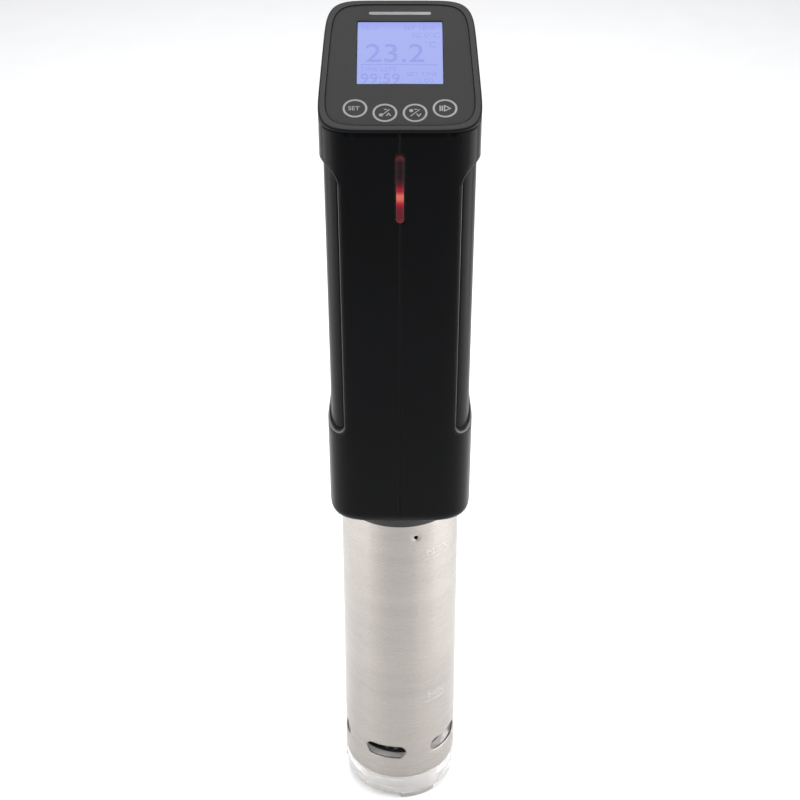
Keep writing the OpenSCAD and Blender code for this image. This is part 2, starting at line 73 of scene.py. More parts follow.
DISPLAY_GLOW = (0.3995, 0.4145)
KEY_PLACES = [(-18.5, 12.7), (-6.2, 10.2), (6.2, 10.2), (18.5, 12.7)]
KEY_R, KEY_LINE = 5.1, 0.9
PRINT_H, PRINT_T = -0.19, 0.05
EMBLEM_X, EMBLEM_S, EMBLEM_W = 12.4, 68.2, 1.7
LIGHT_W, LIGHT_Z0, LIGHT_Z1 = 3.2, 349.0, 381.0
GLAND_Z, GLAND_R = 366.0, 7.0
POCKET_X, POCKET_Z0, POCKET_Z1, POCKET_Y = 22.0, 204.0, 286.0, 33.5
GRIP_X, GRIP_Z0, GRIP_Z1, GRIP_CORNER, GRIP_SINK = 25.0, 237.0, 372.0, 5.0, 1.6
GRIP_RISE, GRIP_SHOULDER, GRIP_EDGE = 4.6, 32.0, 1.7
VENT_Z0, VENT_PITCH, VENTS, VENT_HALF, VENT_R = 203.5, 4.9, 5, 18.0, 1.1
PIN_Y, PIN_Z = 50.0, 246.0
LEVER_W, JAW_Y, JAW_Z, TAB_L = 30.0, 37.5, 130.0, 46.0
TAB_ANGLE = math.radians(22)
BARREL_X0, BARREL_R, BARREL_BORE = 7.1, 5.0, 2.1
COIL_R, COIL_WIRE, COIL_HALF = 3.4, 0.75, 5.2
ARM_L = math.hypot(PIN_Y - JAW_Y, PIN_Z - JAW_Z)
ARM_TURN = -math.atan2(PIN_Y - JAW_Y, PIN_Z - JAW_Z)

# Camera, in metres, degrees and mm of lens
CAMERA_PLACE, CAMERA_DOWN = (0.0, -0.783, 0.780), 34.9
SENSOR_W, LENS = 36.0, 92.25


# ---------------------------------------------------------------- camera and light
def camera():
    """Looks down at the front of the object."""
    cam = bpy.data.objects.new("camera", bpy.data.cameras.new("camera"))
    bpy.context.scene.collection.objects.link(cam)
    cam.location = CAMERA_PLACE
    cam.rotation_euler = (math.radians(90 - CAMERA_DOWN), 0, 0)
    cam.data.sensor_width = SENSOR_W
    cam.data.lens = LENS
    cam.data.clip_end = 20
    bpy.context.scene.camera = cam


def soft_box(name, place, target, size, radiance):
    """A rectangular light of a given radiance that the camera doesn't see."""
    data = bpy.data.lights.new(name, "AREA")
    data.shape = "RECTANGLE"
    data.size, data.size_y = size
    data.energy = radiance * math.pi * size[0] * size[1]
    lamp = bpy.data.objects.new(name, data)
    bpy.context.scene.collection.objects.link(lamp)
    lamp.location = place
    lamp.rotation_euler = (Vector(target) - Vector(place)).to_track_quat("-Z", "Y").to_euler()
    lamp.visible_camera = False


def studio():
    """Pale floor, even world light, one large light overhead and soft ones round the object."""
    world = bpy.data.worlds.new("studio")
    world.use_nodes = True
    world.node_tree.nodes["Background"].inputs["Color"].default_value = (0.97, 0.98, 1.0, 1)
    world.node_tree.nodes["Background"].inputs["Strength"].default_value = 0.55
    bpy.context.scene.world = world
    bpy.context.scene.view_settings.view_transform = "Standard"
    soft_box("box_top", (0.0, 0.25, 1.20), (0, 0, 0.4), (0.70, 0.70), 6.0)
    soft_box("box_left", (-0.42, -0.05, 0.26), (0, -0.02, 0.24), (0.50, 0.50), 3.6)
    soft_box("box_right", (0.42, -0.05, 0.26), (0, -0.02, 0.24), (0.42, 0.50), 5.4)
    soft_box("box_front_left", (-0.38, -0.34, 0.26), (0, 0, 0.2), (0.26, 0.50), 1.5)
    soft_box("box_front_right", (0.35, -0.38, 0.26), (0, 0, 0.2), (0.26, 0.50), 2.0)
    soft_box("box_back", (0.0, 0.9, 0.7), (0, 0, 0.1), (1.2, 0.5), 1.5)
    bpy.ops.mesh.primitive_plane_add(size=8, location=(0, 0, 0))
    floor = bpy.context.object
    floor.name = "floor"
    paper = plastic("floor_paper", (0.86, 0.86, 0.86), 0.9, scale=60, bump=0.0, vary=0.01, spec=0.1)
    floor.data.materials.append(paper)


# ---------------------------------------------------------------- materials
def shader(name):
    mat = bpy.data.materials.new(name)
    mat.use_nodes = True
    return mat, mat.node_tree, mat.node_tree.nodes["Principled BSDF"]


def link(tree, a, b):
    tree.links.new(a, b)


def noise(tree, scale, detail=4.0, stretch=(1, 1, 1)):
    """Noise over the piece's own coordinates, stretched along its axes."""
    coords = tree.nodes.new("ShaderNodeTexCoord")
    mapping = tree.nodes.new("ShaderNodeMapping")
    mapping.inputs["Scale"].default_value = stretch
    tex = tree.nodes.new("ShaderNodeTexNoise")
    tex.inputs["Scale"].default_value = scale
    tex.inputs["Detail"].default_value = detail
    link(tree, coords.outputs["Object"], mapping.inputs["Vector"])
    link(tree, mapping.outputs["Vector"], tex.inputs["Vector"])
    return tex.outputs["Fac"]


def ramp(tree, factor, stops):
    node = tree.nodes.new("ShaderNodeValToRGB")
    elements = node.color_ramp.elements
    while len(elements) < len(stops):
        elements.new(0.5)
    for element, (place, colour) in zip(elements, stops):
        element.position = place
        element.color = (*colour, 1) if len(colour) == 3 else colour
    link(tree, factor, node.inputs["Fac"])
    return node.outputs["Color"]


def spread(tree, factor, low, high):
    node = tree.nodes.new("ShaderNodeMapRange")
    node.inputs["To Min"].default_value = low
    node.inputs["To Max"].default_value = high
    link(tree, factor, node.inputs["Value"])
    return node.outputs["Result"]


def bumped(tree, bsdf, height, strength, distance=0.0002):
    node = tree.nodes.new("ShaderNodeBump")
    node.inputs["Strength"].default_value = strength
    node.inputs["Distance"].default_value = distance
    link(tree, height, node.inputs["Height"])
    link(tree, node.outputs["Normal"], bsdf.inputs["Normal"])


def tint(colour, factor):
    return tuple(min(1.0, c * factor) for c in colour)


def plastic(name, colour, rough, scale=1800, bump=0.15, vary=0.12, spec=0.5):
    """Moulded plastic, rubber, paint or paper: a fine grain and a faint cloudiness."""
    mat, tree, bsdf = shader(name)
    cloud = noise(tree, 35, 3)
    grain = noise(tree, scale, 2)
    stops = [(0.3, tint(colour, 1 - vary)), (0.7, tint(colour, 1 + vary))]
    link(tree, ramp(tree, cloud, stops), bsdf.inputs["Base Color"])
    link(tree, spread(tree, grain, rough * 0.88, min(1, rough * 1.12)), bsdf.inputs["Roughness"])
    bsdf.inputs["Specular IOR Level"].default_value = spec
    bumped(tree, bsdf, grain, bump)
    return mat


def brushed(name, colour, rough, stretch, bump=0.12, aniso=0.0):
    """Metal with fine parallel scratches, drawn out across the stretched axis."""
    mat, tree, bsdf = shader(name)
    lines = noise(tree, 60, 6, stretch)
    broad = noise(tree, 9, 3, tuple(1 + 0.15 * (s - 1) for s in stretch))
    stops = [(0.25, tint(colour, 0.93)), (0.75, tint(colour, 1.05))]
    link(tree, ramp(tree, broad, stops), bsdf.inputs["Base Color"])
    link(tree, spread(tree, lines, rough * 0.75, rough * 1.3), bsdf.inputs["Roughness"])
    bsdf.inputs["Metallic"].default_value = 1.0
    bsdf.inputs["Anisotropic"].default_value = aniso
    bsdf.inputs["Anisotropic Rotation"].default_value = 0.25
    bumped(tree, bsdf, lines, bump, 0.00005)
    return mat


def clear_plastic():
    mat, tree, bsdf = shader("clear_plastic")
    haze = noise(tree, 120, 3)
    stops = [(0.3, (0.86, 0.84, 0.82)), (0.7, (0.93, 0.91, 0.90))]
    link(tree, ramp(tree, haze, stops), bsdf.inputs["Base Color"])
    link(tree, spread(tree, haze, 0.12, 0.22), bsdf.inputs["Roughness"])
    bsdf.inputs["Transmission Weight"].default_value = 0.72
    bsdf.inputs["IOR"].default_value = 1.30
    bumped(tree, bsdf, noise(tree, 300, 2), 0.05)
    return mat


def height_in_piece(tree, low, high):
    """0 to 1 between two heights, in metres, of the piece's own coordinates."""
    coords = tree.nodes.new("ShaderNodeTexCoord")
    split = tree.nodes.new("ShaderNodeSeparateXYZ")
    link(tree, coords.outputs["Object"], split.inputs["Vector"])
    node = tree.nodes.new("ShaderNodeMapRange")
    node.inputs["From Min"].default_value = low
    node.inputs["From Max"].default_value = high
    link(tree, split.outputs["Z"], node.inputs["Value"])
    return node.outputs["Result"]


def glowing(name, stops, strength, low, high):
    """A lit surface whose colour runs through stops from one height to another."""
    mat, tree, bsdf = shader(name)
    colour = ramp(tree, height_in_piece(tree, low, high), stops)
    link(tree, colour, bsdf.inputs["Emission Color"])
    dim = ramp(tree, noise(tree, 300, 2), [(0.3, (0.004, 0.004, 0.005)), (0.7, (0.007, 0.007, 0.009))])
    link(tree, dim, bsdf.inputs["Base Color"])
    bsdf.inputs["Emission Strength"].default_value = strength
    bsdf.inputs["Roughness"].default_value = 0.25
    bsdf.inputs["Specular IOR Level"].default_value = 0.06
    return mat


def ink(name, colour):
    """Dark print on the lit display, which lets some of its light through."""
    mat = plastic(name, (0.02, 0.02, 0.03), 0.5)
    bsdf = mat.node_tree.nodes["Principled BSDF"]
    bsdf.inputs["Emission Color"].default_value = (*colour, 1)
    bsdf.inputs["Emission Strength"].default_value = 0.85
    return mat


camera()
MATERIALS = {
    "casing": plastic("casing_black", (0.0012, 0.0013, 0.0017), 0.30, bump=0.06, spec=0.068),
    "grip": plastic("grip_black", (0.0022, 0.0022, 0.0026), 0.34, bump=0.08, spec=0.05),
    "bezel": plastic("bezel_black", (0.0050, 0.0051, 0.0055), 0.38, bump=0.06, spec=0.13),
    "panel": plastic("panel_grey", (0.0100, 0.0100, 0.0104), 0.42, bump=0.04, spec=0.10),
    "key_silver": plastic("key_print", (0.24, 0.24, 0.245), 0.45, bump=0.04, spec=0.1),
    "white_plastic": plastic("white_plastic", (0.78, 0.78, 0.76), 0.45),
    "circuit_board": plastic("solder_mask", (0.02, 0.13, 0.05), 0.35, scale=500, vary=0.3),
    "screw_steel": brushed("screw_steel", (0.60, 0.60, 0.61), 0.28, (1, 1, 8)),
    "spring_brass": brushed("spring_brass", (0.75, 0.58, 0.25), 0.30, (1, 1, 12)),
    "spring_steel": brushed("spring_wire", (0.55, 0.55, 0.57), 0.30, (1, 1, 1)),
    "black_rubber": plastic("black_rubber", (0.018, 0.018, 0.019), 0.62, scale=2400, bump=0.3, spec=0.3),
    "black_plastic": plastic("black_plastic", (0.02, 0.02, 0.022), 0.5),
    "blue_plastic": plastic("relay_blue", (0.03, 0.10, 0.40), 0.4),
    "copper": brushed("winding_copper", (0.62, 0.27, 0.12), 0.35, (1, 1, 40), bump=0.4),
    "aluminium": brushed("cast_aluminium", (0.60, 0.61, 0.63), 0.45, (3, 3, 3)),
    # Dark grey ring under the casing: partly the collar's own colour, partly painted shade for the casing's
    # shadow on the sleeve.
    "collar": plastic("collar_and_shadow_grey", (0.012, 0.012, 0.013), 0.4, spec=0.3),
    "motor_steel": brushed("motor_zinc", (0.42, 0.43, 0.45), 0.4, (2, 2, 14)),
    "steel": brushed("turned_steel", (0.62, 0.61, 0.60), 0.3, (1, 1, 30)),
    "sleeve_steel": brushed("sleeve_steel", (0.315, 0.294, 0.273), 0.27, (1, 1, 60), bump=0.04, aniso=0.8),
    "heater_steel": brushed("heater_steel", (0.50, 0.47, 0.44), 0.38, (1, 1, 14)),
    "seal_red": plastic("seal_silicone", (0.33, 0.06, 0.04), 0.6),
    "clear_plastic": clear_plastic(),
    "clip_plastic": plastic("clip_black", (0.010, 0.010, 0.011), 0.42, bump=0.3, spec=0.4),
    # The lit display's colour runs to near white over its top few percent: a painted highlight along its
    # upper edge.
    "display": glowing("display_lit_and_highlight", [(0.0, (0.33, 0.40, 0.90)), (0.08, (0.38, 0.45, 0.93)),
                                       (0.80, (0.40, 0.465, 0.94)), (0.90, (0.33, 0.38, 0.88)),
                                       (0.955, (0.36, 0.42, 0.90)), (0.975, (0.70, 0.75, 1.0)),
                                       (1.0, (0.78, 0.82, 1.0))],
                       0.9, *DISPLAY_GLOW),
    "light_red": glowing("light_red", [(0.0, (0.16, 0.02, 0.022)), (0.08, (0.11, 0.006, 0.010)),
                                       (0.24, (0.16, 0.004, 0.012)), (0.30, (0.42, 0.008, 0.020)),
                                       (0.36, (0.66, 0.13, 0.09)), (0.41, (0.66, 0.15, 0.11)),
                                       (0.47, (0.42, 0.008, 0.020)), (0.56, (0.10, 0.004, 0.008)),
                                       (0.68, (0.012, 0.001, 0.002)), (0.90, (0.016, 0.001, 0.002)),
                                       (0.97, (0.10, 0.008, 0.012)), (1.0, (0.12, 0.010, 0.014))],
                         1.0, LIGHT_Z0 * MM, LIGHT_Z1 * MM),
}
DIGIT_INK = ink("digit_ink", (0.165, 0.205, 0.72))
FAINT_INK = ink("faint_ink", (0.17, 0.215, 0.74))
# Much lighter than the casing black: a painted highlight for the bevel round each grip recess.
EDGE_HIGHLIGHT_PAINT = plastic("recess_highlight_paint", (0.050, 0.050, 0.051), 0.34, bump=0.05, spec=0.3)
ETCHED = brushed("etched_steel", (0.44, 0.42, 0.40), 0.60, (1, 1, 20))


def dress_frame():
    """Gives every CAD node the material of its slot in the record."""
    slots = {part["node"]: part["material_slot"] for part in frame["record"]["subparts"]}
    for name, obj in frame["nodes"].items():
        mat = MATERIALS[slots[name]]
        if not obj.material_slots:
            obj.data.materials.append(mat)
        for place in obj.material_slots:
            place.material = mat


# ---------------------------------------------------------------- mesh helpers
def finish_piece(obj, slot, body, replaced=(), material=None):
    obj.data.materials.clear()
    obj.data.materials.append(material or MATERIALS[slot])
    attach(obj, body)
    if replaced:
        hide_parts(*replaced)
    return obj


def new_piece(name, verts, faces, slot, body, replaced=(), material=None):
    """A mesh piece from points in mm."""
    mesh = bpy.data.meshes.new(name)
    mesh.from_pydata([(x * MM, y * MM, z * MM) for x, y, z in verts], [], faces)
    bm = bmesh.new()
    bm.from_mesh(mesh)
    bmesh.ops.remove_doubles(bm, verts=bm.verts, dist=1e-6)
    bmesh.ops.recalc_face_normals(bm, faces=bm.faces)
    bm.to_mesh(mesh)
    bm.free()
    mesh.shade_smooth()
    mesh.set_sharp_from_angle(angle=math.radians(35))
    obj = bpy.data.objects.new(name, mesh)
    bpy.context.scene.collection.objects.link(obj)
    return finish_piece(obj, slot, body, replaced, material)


def apply_modifiers(obj):
    graph = bpy.context.evaluated_depsgraph_get()
    mesh = bpy.data.meshes.new_from_object(obj.evaluated_get(graph))
    obj.modifiers.clear()
    obj.data = mesh


def thicken(obj, thickness):
    mod = obj.modifiers.new("wall", "SOLIDIFY")
    mod.thickness = thickness * MM
    mod.offset = -1
    mod.use_even_offset = False
    apply_modifiers(obj)


def bevel(obj, width):
    mod = obj.modifiers.new("edges", "BEVEL")
    mod.width = width * MM
    mod.segments = 3
    mod.angle_limit = math.radians(35)
    mod.limit_method = "ANGLE"
    mod.harden_normals = False
    apply_modifiers(obj)
    obj.data.shade_smooth()
    obj.data.set_sharp_from_angle(angle=math.radians(50))


def loft(rings, close_ends=True, closed_loop=False):
    """Joins rings with the same number of points. Returns points and faces."""
    n = len(rings[0])
    verts = [p for ring in rings for p in ring]
    faces = []
    count = len(rings)
    for i in range(count if closed_loop else count - 1):
        a, b = i * n, ((i + 1) % count) * n
        faces += [(a + k, a + (k + 1) % n, b + (k + 1) % n, b + k) for k in range(n)]
    if close_ends and not closed_loop:
        faces.append(tuple(reversed(range(n))))
        faces.append(tuple(range((count - 1) * n, count * n)))
    return verts, faces


def circle(r, steps):
    angles = (2 * math.pi * k / steps for k in range(steps))
    return [(r * math.cos(a), r * math.sin(a)) for a in angles]


def lathe(profile, steps=128, place=None):
    """Turns a profile of (radius, height) about Z."""
    rings = []
    for r, z in profile:
        ring = [(x, y, z) for x, y in circle(r, steps)]
        rings.append([place @ Vector(p) for p in ring] if place else ring)
    return loft(rings, close_ends=False, closed_loop=True)


def arc(cx, cy, r, a0, a1, steps=6):
    angles = (math.radians(a0 + (a1 - a0) * k / steps) for k in range(steps + 1))
    return [(cx + r * math.cos(a), cy + r * math.sin(a)) for a in angles]


def inside(points, polygon):
    """Even-odd test of many points against one polygon."""
    x, y = points[:, 0], points[:, 1]
    result = np.zeros(len(points), bool)
    for (x0, y0), (x1, y1) in zip(polygon, polygon[1:] + polygon[:1]):
        if y0 == y1:
            continue
        crosses = ((y0 > y) != (y1 > y)) & (x < (x1 - x0) * (y - y0) / (y1 - y0) + x0)
        result ^= crosses
    return result


def densify(polygon, step, closed=True):
    out = []
    ends = polygon[1:] + polygon[:1] if closed else polygon[1:]
    for (x0, y0), (x1, y1) in zip(polygon, ends):
        n = max(1, int(math.hypot(x1 - x0, y1 - y0) / step))
        out += [(x0 + (x1 - x0) * k / n, y0 + (y1 - y0) * k / n) for k in range(n)]
    return out if closed else out + [polygon[-1]]


def point_tree(points):
    """Finds the nearest of some flat points."""
    tree = kdtree.KDTree(len(points))
    for i, (x, y) in enumerate(points):
        tree.insert((x, y, 0), i)
    tree.balance()
    return tree


def sheet_mesh(outer, holes, contours, lines, step):
    """Triangles over a flat outline with holes, denser along the contours and lines."""
    loops = [(densify(p, step[0]), True) for p in [outer] + holes + contours]
    loops += [(densify(p, step[0], False), False) for p in lines]
    points, edges = [], []
    for loop, closed in loops:
        start = len(points)
        points += loop
        edges += [(start + k, start + k + 1) for k in range(len(loop) - 1)]
        if closed:
            edges.append((start + len(loop) - 1, start))
    tree = point_tree(points)
    (x0, y0), (x1, y1) = np.min(outer, 0), np.max(outer, 0)
    nx, ny = int((x1 - x0) / step[0]), int((y1 - y0) / step[1])
    grid = np.array([(x0 + (x1 - x0) * (i + 0.5 * (j % 2)) / nx, y0 + (y1 - y0) * j / ny)
                     for j in range(1, ny) for i in range(1, nx)])
    keep = inside(grid, outer)
    for hole in holes:
        keep &= ~inside(grid, hole)
    gap = 0.6 * min(step)
    points += [tuple(p) for p in grid[keep] if tree.find((p[0], p[1], 0))[2] > gap]
    verts, _, tris, *_ = delaunay_2d_cdt([Vector(p) for p in points], edges, [], 0, 1e-5)
    centres = np.array([sum((verts[i] for i in t), Vector((0, 0))) / 3 for t in tris])
    keep = inside(centres, outer)
    for hole in holes:
        keep &= ~inside(centres, hole)
    return [tuple(v) for v in verts], [tuple(t) for t, k in zip(tris, keep) if k]


# ---------------------------------------------------------------- casing
def polar_radius(half_w, half_d, phi, power=CORNER_POWER):
    """Distance from the axis to the casing's outline in direction phi."""
    c, s = abs(math.cos(phi)), abs(math.sin(phi))
    return ((c / half_w) ** power + (s / half_d) ** power) ** (-1 / power)


def narrow(y, half_d):
    """How much of its width the casing keeps at y, as it narrows toward its back."""
    return 1 - BACK_TAPER * (y / half_d + TAPER_START) / (1 + TAPER_START)


def outline_table(steps=1440):
    """Direction, x and y at each length along the right half, from the front seam."""
    rows, length, last = [], 0.0, None
    for k in range(steps + 1):
        phi = -math.pi / 2 + math.pi * k / steps
        r = polar_radius(CASING_W / 2, CASING_D / 2, phi)
        y = r * math.sin(phi)
        p = (r * math.cos(phi) * narrow(y, CASING_D / 2), y)
        if last:
            length += math.dist(p, last)
        rows.append((length, phi, *p))
        last = p
    return np.array(rows)


TABLE = outline_table()
GIRTH = float(TABLE[-1, 0])
MID_U = float(np.interp(0.0, TABLE[:, 3], TABLE[:, 0]))


def along(u, column):
    return float(np.interp(u, TABLE[:, 0], TABLE[:, column]))


def u_of_x(x, back):
    """Length along the half outline where it is x out, on its front or its back."""
    widest = int(np.argmax(TABLE[:, 2]))
    rows = TABLE[:widest:-1] if back else TABLE[:widest]
    return float(np.interp(x, rows[:, 2], rows[:, 0]))


def size_at(z):
    """The casing's width and depth at a height, as a share of those at the top."""
    return 1 - TAPER * (FRONT_TOP - z) / (FRONT_TOP - CASING_Z0)


def cut_height(y, depth):
    """Height of the plane that lies depth below the control face."""
    return FRONT_TOP + (y + CASING_D / 2) * math.tan(TILT) - depth / math.cos(TILT)


def smooth(a, b, t):
    t = min(1.0, max(0.0, (t - a) / (b - a)))
    return t * t * (3 - 2 * t)


def ramp_width(x):
    """Width of the recess's sloping edge, seen from the front, x out from the middle."""
    return 1.0 + 1.0 * smooth(30.5, 33.5, x)


def grip_level(u, z):
    """How far a point lies inside the recess, in widths of its edge."""
    x = along(u, 2)
    r = GRIP_CORNER
    rise = GRIP_RISE / (GRIP_SHOULDER - GRIP_X)
    side = x - GRIP_X
    top = (GRIP_Z1 + rise * min(side, GRIP_SHOULDER - GRIP_X) - z) / math.hypot(1, rise) / ramp_width(x)
    bottom = (z - GRIP_Z0) / ramp_width(x)
    level = min(top, bottom) if side > 2 * r else min(top, bottom, side)
    for other in (bottom, top):
        if side < r and other < r:
            level = min(level, r - math.hypot(r - side, r - other))
    return level


def grip_contours(levels):
    """Closed lines in the unrolled casing at some levels inside the recess."""
    mid_u, mid_z = MID_U, (GRIP_Z0 + GRIP_Z1) / 2 + 6
    lines = []
    for level in levels:
        line = []
        for k in range(260):
            a = 2 * math.pi * k / 260
            way = (GIRTH * 0.32 * math.cos(a), 72 * math.sin(a))
            near, far = 0.5, 1.6
            for _ in range(30):
                t = (near + far) / 2
                if grip_level(mid_u + t * way[0], mid_z + t * way[1]) > level:
                    near = t
                else:
                    far = t
            line.append((mid_u + near * way[0], mid_z + near * way[1]))
        lines.append(line)
    return lines


def casing_point(u, z, depth):
    """A point on the casing, from its place in the unrolled outline. Below the lower
    edge the surface turns in, and ends on the collar."""
    phi = along(u, 1)
    w = z - CASING_Z0
    inset = 0.0
    power = CORNER_POWER
    if w < EDGE_H:
        turn = max(0.0, w) / EDGE_H * math.pi / 2
        inset = EDGE_INSET * (1 - math.sin(turn))
        power -= (CORNER_POWER - EDGE_POWER) * (1 - math.sin(turn))
        z = CASING_Z0 + EDGE_H * (1 - math.cos(turn))
    k = size_at(z)
    half_w, half_d = CASING_W / 2 * k - inset - depth, CASING_D / 2 * k - inset - depth
    r = polar_radius(half_w, half_d, phi, power)
    if w > EDGE_H:
        share = (w - EDGE_H) / (FRONT_TOP + CASING_D - CASING_Z0 - EDGE_H)
        r += share * (polar_radius(half_w, half_d, phi, SKY_POWER) - r)
    x, y = r * math.cos(phi), r * math.sin(phi)
    x *= narrow(y, half_d)
    if w < 0:
        share = min(1.0, -w)
        x += share * ((COLLAR_R + 0.1) * math.cos(phi) - x)
        y += share * ((COLLAR_R + 0.1) * math.sin(phi) - y)
        z = CASING_Z0
    return x, y, z


def vent_slot(i, grow):
    """Outline of one of the side slots, drawn out by grow."""
    z = VENT_Z0 + VENT_PITCH * i
    r = VENT_R + grow
    return arc(MID_U + VENT_HALF, z, r, -90, 90, 8) + arc(MID_U - VENT_HALF, z, r, 90, 270, 8)


def in_box(x, z, margin):
    """Whether a point is in the flat pocket for the clip at the back."""
    return abs(x) < POCKET_X - margin and POCKET_Z0 + margin < z < POCKET_Z1 - margin


def shell_depth(u, z, vents):
    """Depth of the shell's surface under the plain casing."""
    level = grip_level(u, z)
    t = min(1.0, max(0.0, level / GRIP_EDGE))
    depth = GRIP_SINK * (0.5 * t + 0.5 * t * t * (3 - 2 * t)) + 0.9 * smooth(1.86, 2.0, level)
    seam = min(u, GIRTH - u)
    depth += 0.18 * (1 - smooth(0.0, 0.3, seam))
    for slot in vents:
        if slot.find((u, z, 0))[2] < 0.05:
            depth += 0.35
    return depth


def hand(side):
    return "right" if side > 0 else "left"


def half_shell(side):
    """Half of the casing, with its share of the light's and the gland's openings."""
    top = [(u, cut_height(along(u, 3), RIM_T + 0.12)) for u in np.linspace(0, GIRTH, 120)]
    outer = [(0.0, CASING_Z0 - 1), (GIRTH, CASING_Z0 - 1)] + [(float(u), z) for u, z in reversed(top)]
    light = ([(-2.0, LIGHT_Z0)] + arc(0, LIGHT_Z0 + LIGHT_W / 2, LIGHT_W / 2, -90, 0, 8)
             + arc(0, LIGHT_Z1 - LIGHT_W / 2, LIGHT_W / 2, 0, 90, 8) + [(-2.0, LIGHT_Z1)])
    gland = arc(GIRTH, GLAND_Z, GLAND_R, 90, 270, 20) + [(GIRTH + 3, GLAND_Z - GLAND_R),
                                                          (GIRTH + 3, GLAND_Z + GLAND_R)]
    vents = [vent_slot(i, 0) for i in range(VENTS)]
    contours = grip_contours((-0.02, 0.1, 0.35, 0.7, 1.05, 1.35, 1.6, 1.75, 1.86, 2.0, 2.4))
    contours += [vent_slot(i, 0.3) for i in range(VENTS)]
    lines = []
    for margin in (0.0, 0.3):
        edge = u_of_x(POCKET_X - margin, True)
        lines.append([(GIRTH, POCKET_Z0 + margin), (edge, POCKET_Z0 + margin),
                      (edge, POCKET_Z1 - margin), (GIRTH, POCKET_Z1 - margin)])
    for u, end in ((0.3, SEAM_FRONT), (GIRTH - 0.3, SEAM_BACK)):
        lines.append([(u, CASING_Z0 - 1), (u, end)])
    for w in (0.0, 0.6, 1.2, 1.9, 2.7, 3.5, 4.3, 5.0):
        lines.append([(0.0, CASING_Z0 + w), (GIRTH, CASING_Z0 + w)])
    flat, tris = sheet_mesh(outer, [light, gland] + vents, contours, lines, (0.9, 1.7))
    trees = [point_tree(densify(slot, 0.4)) for slot in vents]
    verts = []
    for u, z in flat:
        near_vent = VENT_Z0 - 4 < z < VENT_Z0 + VENT_PITCH * VENTS + 2
        x, y, h = casing_point(u, z, shell_depth(u, z, trees if near_vent else []))
        if y > 30 and in_box(x, h, 0.15):
            y = POCKET_Y
        verts.append((side * x, y, h))
    obj = new_piece(f"{hand(side)}_shell_skin", verts, tris, "casing", "casing_body", [f"{hand(side)}_shell"])
    thicken(obj, WALL)


def half_grip(side):
    """Insert on the floor of the recess, with a rounded edge."""
    outer = grip_contours((2.04,))[0]
    contours = grip_contours((2.1, 2.2, 2.4, 2.8, 3.4))
    flat, tris = sheet_mesh(outer, [], contours, [], (0.9, 1.7))
    verts = []
    for u, z in flat:
        level = grip_level(u, z)
        depth = GRIP_SINK + 0.35 * (1 - smooth(2.0, 2.3, level)) ** 2
        x, y, h = casing_point(u, z, depth)
        verts.append((side * x, y, h))
    obj = new_piece(f"{hand(side)}_grip_skin", verts, tris, "grip", "casing_body", [f"{hand(side)}_grip"])
    thicken(obj, 0.6)


def recess_edge_highlight(side):
    """Bead on the slope round the grip recess, lighter than the casing: a painted highlight along the
    recess's edge.
    """
    outer, inner = grip_contours((0.40, 1.15))
    flat, tris = sheet_mesh(outer, [inner], [], [], (0.9, 1.7))
    verts = []
    for u, z in flat:
        x, y, h = casing_point(u, z, shell_depth(u, z, []) - 0.07)
        verts.append((side * x, y, h))
    obj = new_piece(f"{hand(side)}_recess_edge_highlight", verts, tris, "grip", "casing_body", material=EDGE_HIGHLIGHT_PAINT)
    thicken(obj, 0.3)


# ---------------------------------------------------------------- control head
HEAD_STEPS = 320
FACE = Matrix.Translation((0, -CASING_D / 2, FRONT_TOP)) @ Matrix.Rotation(TILT, 4, "X")


def on_face(x, s, h):
    """A point in the control face: x right, s up the slope, h out of it."""
    return tuple(FACE @ Vector((x, s, h)))


def face_outline(inset):
    """The head's outline in the control face, drawn in by inset."""
    half_w, half_l = CASING_W / 2 - inset, SLOPE_L / 2 - inset
    points = []
    for k in range(HEAD_STEPS):
        phi = 2 * math.pi * k / HEAD_STEPS
        r = polar_radius(half_w, half_l, phi, HEAD_POWER)
        y = r * math.sin(phi)
        points.append((r * math.cos(phi) * narrow(y, half_l), SLOPE_L / 2 + y))
    return points


def face_ring(inset, h, upright):
    """The outline at height h, straight under the face's own one where upright."""
    shift = h * math.tan(TILT) if upright else 0.0
    return [on_face(x, s + shift, h) for x, s in face_outline(inset)]


def bezel():
    """Glossy rim round the panel, with a plug that goes down into the shells."""
    outer = [(PLUG_INSET, -BEZEL_T), (PLUG_INSET, -RIM_T), (0.25, -RIM_T), (0.0, -RIM_T + 0.2), (0.0, -0.8)]
    outer += [(0.8 - 0.8 * math.cos(a), -0.8 + 0.77 * math.sin(a))
              for a in (math.radians(15 * k) for k in range(1, 7))]
    inner = [(RIM_INSET - 0.5, -0.04), (RIM_INSET - 0.15, -0.07), (RIM_INSET - 0.04, -0.16),
             (RIM_INSET - 0.02, -0.4), (RIM_INSET - 0.02, -1.9)]
    rings = [face_ring(i, h, True) for i, h in outer] + [face_ring(i, h, False) for i, h in inner]
    rings += [face_ring(9, -1.9, False), face_ring(9, -BEZEL_T, False)]
    verts, faces = loft(rings, close_ends=False, closed_loop=True)
    new_piece("bezel_rim", verts, faces, "bezel", "casing_body", ["top_bezel"])


def rounded_rect(x0, y0, x1, y1, r, steps=5):
    return (arc(x1 - r, y0 + r, r, -90, 0, steps) + arc(x1 - r, y1 - r, r, 0, 90, steps)
            + arc(x0 + r, y1 - r, r, 90, 180, steps) + arc(x0 + r, y0 + r, r, 180, 270, steps))


